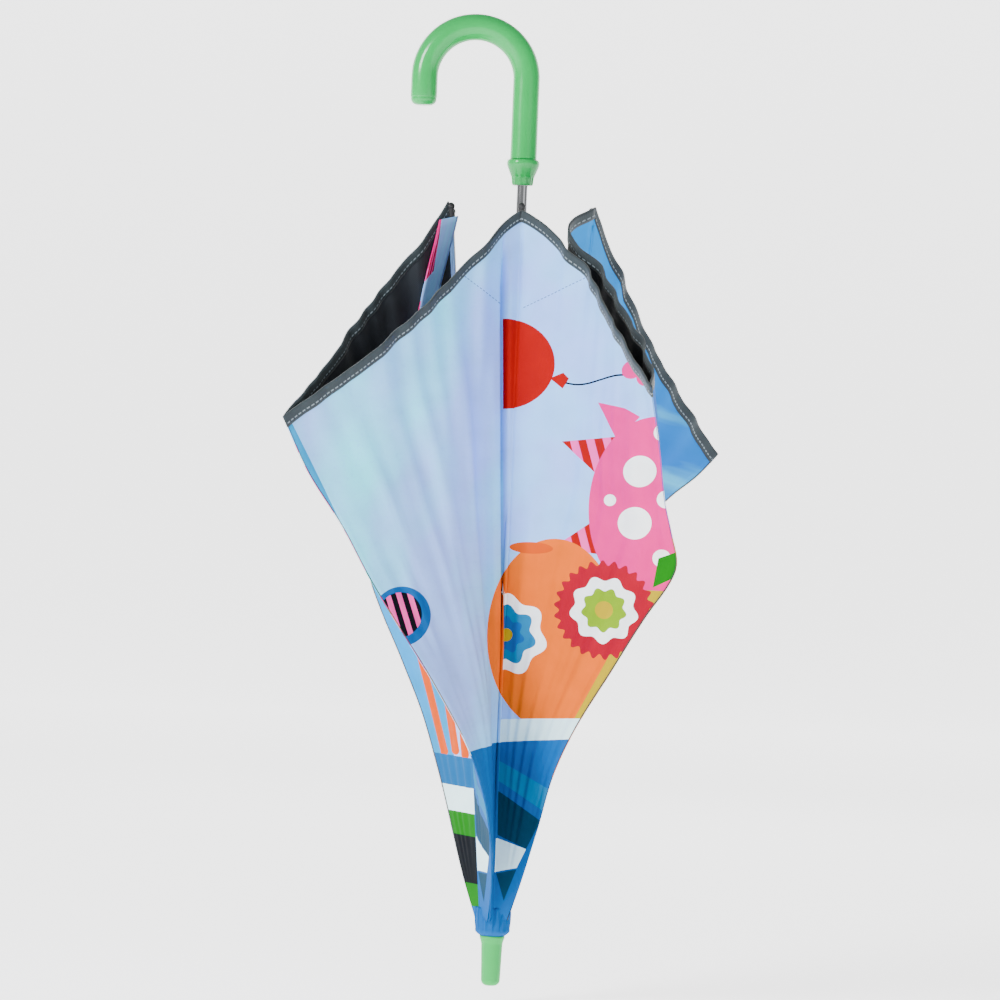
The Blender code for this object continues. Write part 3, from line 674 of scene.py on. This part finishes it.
# height of the cloth's edge over the ribs' axes at rest
RIB_LIFT = 0.0023
RIB_LIFT_WIDTH = 0.010
BROAD_RIPPLE = 0.0060
FINE_RIPPLE = 0.0032
CREASE_DEPTH = 0.0020
HEM_SCALLOP = 0.012
TIP_BLUNT = 0.012
FRONT_RIB = 1


class Gore:
    """The fold that two halves share."""

    def __init__(self, number):
        self.first = HALVES[f"{number}a"]
        self.second = HALVES[f"{number}b"]
        self.number = number
        direction = self.first.outward.cross(self.second.outward).normalized()
        self.direction = direction if direction.z > 0 else -direction
        self.length = FOLD_LENGTH - FOLD_SHORTER.get(number, 0)
        flap = (self.first.across + self.second.across).normalized()
        sideways = flap.cross(self.direction).normalized()
        self.sideways = sideways if sideways.x > 0 else -sideways

    def fold(self, share):
        apex = (self.first.apex + self.second.apex) / 2
        straight = apex + self.direction * self.length * share
        straight.y += FOLD_BACK.get(self.number, 0) * share ** 2
        return straight + self.sideways * curve_through(FOLD_LEAN[self.number], share)


GORES = {n: Gore(n) for n in numbers}


def ripple(gore, share, part):
    """Small folds of a flap, which both of its halves follow."""
    seed = gore.number * 7.3
    edge = smoothstep(0, 0.25, part) * smoothstep(0.15, 0.6, share)
    broad = noise.noise(Vector((part * 4.5, share * 2.6, seed))) * BROAD_RIPPLE
    fine = noise.noise(Vector((part * 15, share * 5.0, seed + 9))) * FINE_RIPPLE
    return (broad + fine) * edge


def creases(half, share, part, across):
    """Shallow lines that run from the apex in one half gore."""
    seed = half.gore + (0.5 if half.side == "b" else 0)
    spread = across / max(share, 0.05)
    lines = noise.noise(Vector((spread * 55, share * 1.5, seed * 5))) * CREASE_DEPTH
    return lines * smoothstep(0.06, 0.3, share) * smoothstep(0.0, 0.012, across) * smoothstep(1.0, 0.8, part)


def pleat(half, share, flat):
    """Two upright pleats beside the front rib's seam."""
    if half.name != "6b":
        return 0.0
    sharp_x, sharp_width, sharp_depth = 0.0436 * max(0.0, flat.y - 0.20), 0.0021, -0.0140
    soft_x, soft_width, soft_depth = 0.0725 * flat.y, 0.0035 + 0.012 * flat.y, -0.0085
    sharp = sharp_depth * math.exp(-(((flat.x - sharp_x) / sharp_width) ** 2))
    soft = soft_depth * math.exp(-(((flat.x - soft_x) / soft_width) ** 2))
    sharp *= smoothstep(0.12, 0.4, share) * smoothstep(0.995, 0.90, share)
    soft *= smoothstep(0.08, 0.3, share) * smoothstep(0.88, 0.66, share)
    return sharp + soft


def cloth_point(half, share, part, beyond=0.0):
    """Rest place, and flat coordinates, of the point at a share of the way to the hem and a part of the
    way from rib to fold; beyond lengthens the cloth past its hem, in metres."""
    gore = GORES[half.gore]
    angle = half.along.angle(gore.direction)
    hem_rib = Vector((0.0, RIB_LENGTH + APEX_SHIFT))
    hem_fold = Vector((gore.length * math.sin(angle), gore.length * math.cos(angle)))
    hem = hem_rib.lerp(hem_fold, part)
    blunt = TIP_BLUNT * math.exp(-part / 0.06) if half.rib == FRONT_RIB else 0.0
    hem *= 1 - HEM_SCALLOP * math.sin(math.pi * part) - blunt + beyond / hem.length
    flat = hem * share
    place = half.apex + half.across * flat.x + half.along * flat.y
    straight = half.apex + gore.direction * gore.length * share
    place += (gore.fold(share) - straight) * part ** 1.15
    bow = curve_through(HEM_BOW.get(half.name, PLAIN_BOW), part) * share ** 1.5
    place += half.outward * (bow + creases(half, share, part, flat.x) + pleat(half, share, flat))
    place += gore.sideways * ripple(gore, share, part)
    place += half.over_rib * RIB_LIFT * math.exp(-flat.x / RIB_LIFT_WIDTH)
    return place, flat


def front_coordinates(half, share, part):
    """Print coordinates: what the front of the closed canopy shows, in millimetres from the shaft's axis."""
    pattern = HALVES["1a"] if half.side == "a" else HALVES["6b"]
    if half.name == "5b":
        pattern = half
    place, _ = cloth_point(pattern, share, part)
    return (place.x - SHAFT_X) * 1000, place.z * 1000


def grid_mesh(name, rows, columns, point, flip):
    """A sheet of quads from point(row, column) -> (place, cloth coordinates, print coordinates)."""
    mesh = bpy.data.meshes.new(name)
    places, cloth, prints = [], [], []
    for row in range(rows):
        for column in range(columns):
            place, flat, shown = point(row / (rows - 1), column / (columns - 1))
            places.append(place)
            cloth.append((flat[0], flat[1], 0))
            prints.append((shown[0], shown[1], 0))
    faces = []
    for row in range(rows - 1):
        for column in range(columns - 1):
            corner = row * columns + column
            quad = (corner, corner + 1, corner + columns + 1, corner + columns)
            faces.append(quad[::-1] if flip else quad)
    mesh.from_pydata(places, [], faces)
    for label, values in (("cloth", cloth), ("print", prints)):
        attribute = mesh.attributes.new(label, "FLOAT_VECTOR", "POINT")
        attribute.data.foreach_set("vector", np.array(values, np.float32).ravel())
    mesh.shade_smooth()
    return mesh


def add_piece(name, mesh, body, finishes):
    piece = bpy.data.objects.new(name, mesh)
    bpy.context.scene.collection.objects.link(piece)
    for finish in finishes:
        mesh.materials.append(finish)
    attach(piece, body)
    return piece


def flatten(piece):
    """Gives a piece a mesh of its own."""
    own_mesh(piece)


def thicken(piece, thickness, offset, inner=0):
    """Live thickness, with another material on the inner face."""
    shell = piece.modifiers.new("thickness", "SOLIDIFY")
    shell.thickness = thickness
    shell.offset = offset
    shell.material_offset = inner


def print_of(half):
    """The print that a half gore carries."""
    if half.name in ("6b", "1a"):
        return PRINT_FRONT
    if half.name == "5b":
        return PRINT_SIDE
    return PRINT_SKY if half.gore in (1, 2, 4, 5) else PRINT_FRONT


def make_half(half):
    """A half gore's cloth, and the folded tape along its hem."""
    flip = half.side == "b"
    columns = 72 if half.name == "6b" else 44
    crowding = 1.7 if half.name == "6b" else 1.0

    def cloth(row, column):
        share = START + (1 - START) * row
        part = column ** crowding
        place, flat = cloth_point(half, share, part)
        return place, flat, front_coordinates(half, share, part)

    mesh = grid_mesh(f"gore_{half.name}", 90, columns, cloth, flip)
    body = f"panel_{half.name}"
    piece = add_piece(f"gore_{half.name}", mesh, body, [print_of(half), LINING])
    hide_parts(f"canopy_panel_{half.name}")
    flatten(piece)
    thicken(piece, CLOTH, -1.0, 1)

    def tape(row, column):
        _, edge = cloth_point(half, 1.0, column)
        share = 1 - HEM_WIDTH * (1 - row) / edge.length * 1.12
        place, _ = cloth_point(half, share, column, 0.0007 * row)
        return place, (hem_length * column, HEM_WIDTH * (1 - row)), (0, 0)

    ends = [cloth_point(half, 1.0, p)[0] for p in (0, 1)]
    hem_length = (ends[0] - ends[1]).length
    hem_mesh = grid_mesh(f"hem_{half.name}", 5, 90, tape, flip)
    hem = add_piece(f"hem_{half.name}", hem_mesh, body, [BINDING])
    flatten(hem)
    thicken(hem, HEM_THICKNESS, -0.28)


for half in HALVES.values():
    make_half(half)


# ---------------------------------------------------------------- seams over the ribs and the apex cap
SEAM_HALF_WIDTH = 0.0026


def make_seam(number):
    """The seam over one rib, a low ridge between two gores."""
    right = HALVES[f"{number}a"]
    sideways = right.along.cross(right.over_rib)

    def strip(row, column):
        along = 0.006 + (RIB_LENGTH - 0.018) * row
        turn = (column - 0.5) * 2
        off = turn * SEAM_HALF_WIDTH
        place = right.pivot + right.along * along + sideways * turn * SEAM_HALF_WIDTH
        place += right.over_rib * (0.0027 - 0.0024 * turn * turn)
        pattern = HALVES["1a"]
        shown = pattern.pivot + pattern.along * along
        return place, (off, along), ((shown.x - SHAFT_X + off) * 1000, shown.z * 1000)

    mesh = grid_mesh(f"seam_{number}", 70, 7, strip, False)
    piece = add_piece(f"seam_{number}", mesh, f"rib_{number}", [print_of(right), LINING])
    thicken(piece, CLOTH, -1.0, 1)


def make_cap():
    """The cloth gathered over the notch, down to the ferrule's rim."""
    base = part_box("ferrule")[1].z + 0.0002
    radii = [(0.0, 0.0089), (0.05, 0.0100), (0.085, 0.0113), (0.3, 0.0118), (0.75, 0.0122), (1.0, 0.0119)]
    top = HALVES["1a"].pivot.z + 0.013

    def gather(row, column):
        angle = 2 * math.pi * column
        folds = math.sin(18 * angle) + 0.6 * math.sin(31 * angle + 1)
        radius = curve_through(radii, row) + 0.0005 * folds * smoothstep(0.0, 0.5, row)
        level = base + (top - base) * row
        place = Vector((SHAFT_X + radius * math.cos(angle), radius * math.sin(angle), level))
        return place, (angle * radius, place.z), (radius * 1000 * math.cos(angle), -620)

    mesh = grid_mesh("apex_cloth", 16, 217, gather, False)
    work = bmesh.new()
    work.from_mesh(mesh)
    bmesh.ops.remove_doubles(work, verts=work.verts, dist=1e-6)
    work.to_mesh(mesh)
    work.free()
    piece = add_piece("apex_cloth", mesh, "frame", [PRINT_FRONT, LINING])
    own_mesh(piece)
    thicken(piece, CLOTH, -1.0, 1)


for rib_number in numbers:
    make_seam(rib_number)
make_cap()


# ---------------------------------------------------------------- tie strap
def make_strap():
    """The tie strap inside the left fold, with its patch of hooks."""
    half = HALVES["6a"]
    start, end = Vector((0.020, 0.985)), Vector((0.34, 0.845))

    def cloth(row, column, lift=0.0030, width=0.018, low=0.0, high=1.0):
        line = low + (high - low) * row
        part = start.x + (end.x - start.x) * line
        share = start.y + (end.y - start.y) * line
        place, flat = cloth_point(half, share, part)
        ahead, _ = cloth_point(half, share + 0.01, part + 0.004)
        run = (ahead - place).normalized()
        side = run.cross(half.outward).normalized()
        place = place - half.outward * lift + side * (column - 0.5) * width
        return place, ((column - 0.5) * width, line * 0.075), ((column - 0.5) * 90 + 20, -300 + line * 70)

    mesh = grid_mesh("strap_cloth", 24, 8, cloth, True)
    strap = add_piece("strap_cloth", mesh, "panel_6a", [PRINT_FRONT, LINING])
    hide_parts("tie_strap")
    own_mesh(strap)
    thicken(strap, 0.0008, 0.0)

    def patch(row, column):
        return cloth(row, column, 0.0042, 0.015, 0.74, 0.98)

    mesh = grid_mesh("strap_hooks", 14, 10, patch, True)
    hooks = add_piece("strap_hooks", mesh, "panel_6a", [hook_material()])
    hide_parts("strap_patch")
    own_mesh(hooks)
    thicken(hooks, 0.0012, 0.0)


def hook_material():
    """Pale, fuzzy hook tape."""
    shader = Shader("hook_tape", roughness=0.85, Sheen_Weight=0.3)
    fuzz = shader.noise(1500, 2)
    shader.colour(shader.mix(fuzz, srgb(190, 196, 204), srgb(236, 240, 244)))
    shader.bump(fuzz, 0.0004, 0.8)
    return shader.material


make_strap()


# ---------------------------------------------------------------- studio
def make_studio():
    """A pale backdrop that bends up behind the umbrella, an even surround, and three soft lamps."""
    low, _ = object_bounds()
    floor = low.z - 0.012
    bend, back, height, width = 1.6, 4.0, 6.0, 10.0
    profile = [(-7.0, floor), (back, floor)]
    for step in range(1, 17):
        angle = math.radians(90 * step / 16)
        profile.append((back + bend * math.sin(angle), floor + bend * (1 - math.cos(angle))))
    profile.append((back + bend, floor + height))
    mesh = bpy.data.meshes.new("backdrop")
    places = [(side * width, y, z) for y, z in profile for side in (-1, 1)]
    faces = [(2 * i, 2 * i + 1, 2 * i + 3, 2 * i + 2) for i in range(len(profile) - 1)]
    mesh.from_pydata(places, [], faces)
    mesh.shade_smooth()
    ground = bpy.data.objects.new("backdrop", mesh)
    bpy.context.scene.collection.objects.link(ground)
    shader = Shader("backdrop", roughness=0.9, Emission_Strength=2.2)
    shader.set("Emission Color", (1, 1, 1, 1))
    grain = shader.noise(3, 2)
    shader.colour(shader.mix(grain, (0.86, 0.86, 0.87), (0.90, 0.90, 0.91)))
    mesh.materials.append(shader.material)

    world = bpy.data.worlds.new("studio")
    bpy.context.scene.world = world
    world.use_nodes = True
    world.node_tree.nodes["Background"].inputs["Color"].default_value = (1, 1, 1, 1)
    world.node_tree.nodes["Background"].inputs["Strength"].default_value = 0.40

    middle = Vector((SHAFT_X, 0, -0.32))
    for name, place, size, power in (
        ("key", (-1.7, -1.5, 1.0), 0.7, 80),
        ("fill", (1.6, -1.8, 0.0), 1.4, 6),
        ("rim", (0.4, 1.9, 0.9), 1.2, 10),
    ):
        lamp = bpy.data.lights.new(name, "AREA")
        lamp.size = size
        lamp.energy = power
        holder = bpy.data.objects.new(name, lamp)
        bpy.context.scene.collection.objects.link(holder)
        holder.location = middle + Vector(place)
        holder.rotation_euler = (middle - holder.location).to_track_quat("-Z", "Y").to_euler()


def make_camera():
    """Level with the umbrella's middle, rolled by the small lean at which it hangs."""
    roll = math.radians(2.31)
    right = Vector((math.cos(roll), 0, math.sin(roll)))
    up = Vector((-math.sin(roll), 0, math.cos(roll)))
    target = Vector((SHAFT_X, 0, -0.3206)) - right * 0.0068
    distance = 3.1
    camera = bpy.data.cameras.new("camera")
    camera.sensor_width = 36
    camera.lens = 36 * distance / 0.700
    camera.clip_end = 30
    holder = bpy.data.objects.new("camera", camera)
    bpy.context.scene.collection.objects.link(holder)
    axes = Matrix((right, up, Vector((0, -1, 0)))).transposed().to_4x4()
    holder.matrix_world = Matrix.Translation(target + Vector((0, -distance, 0))) @ axes
    bpy.context.scene.camera = holder


make_studio()
make_camera()
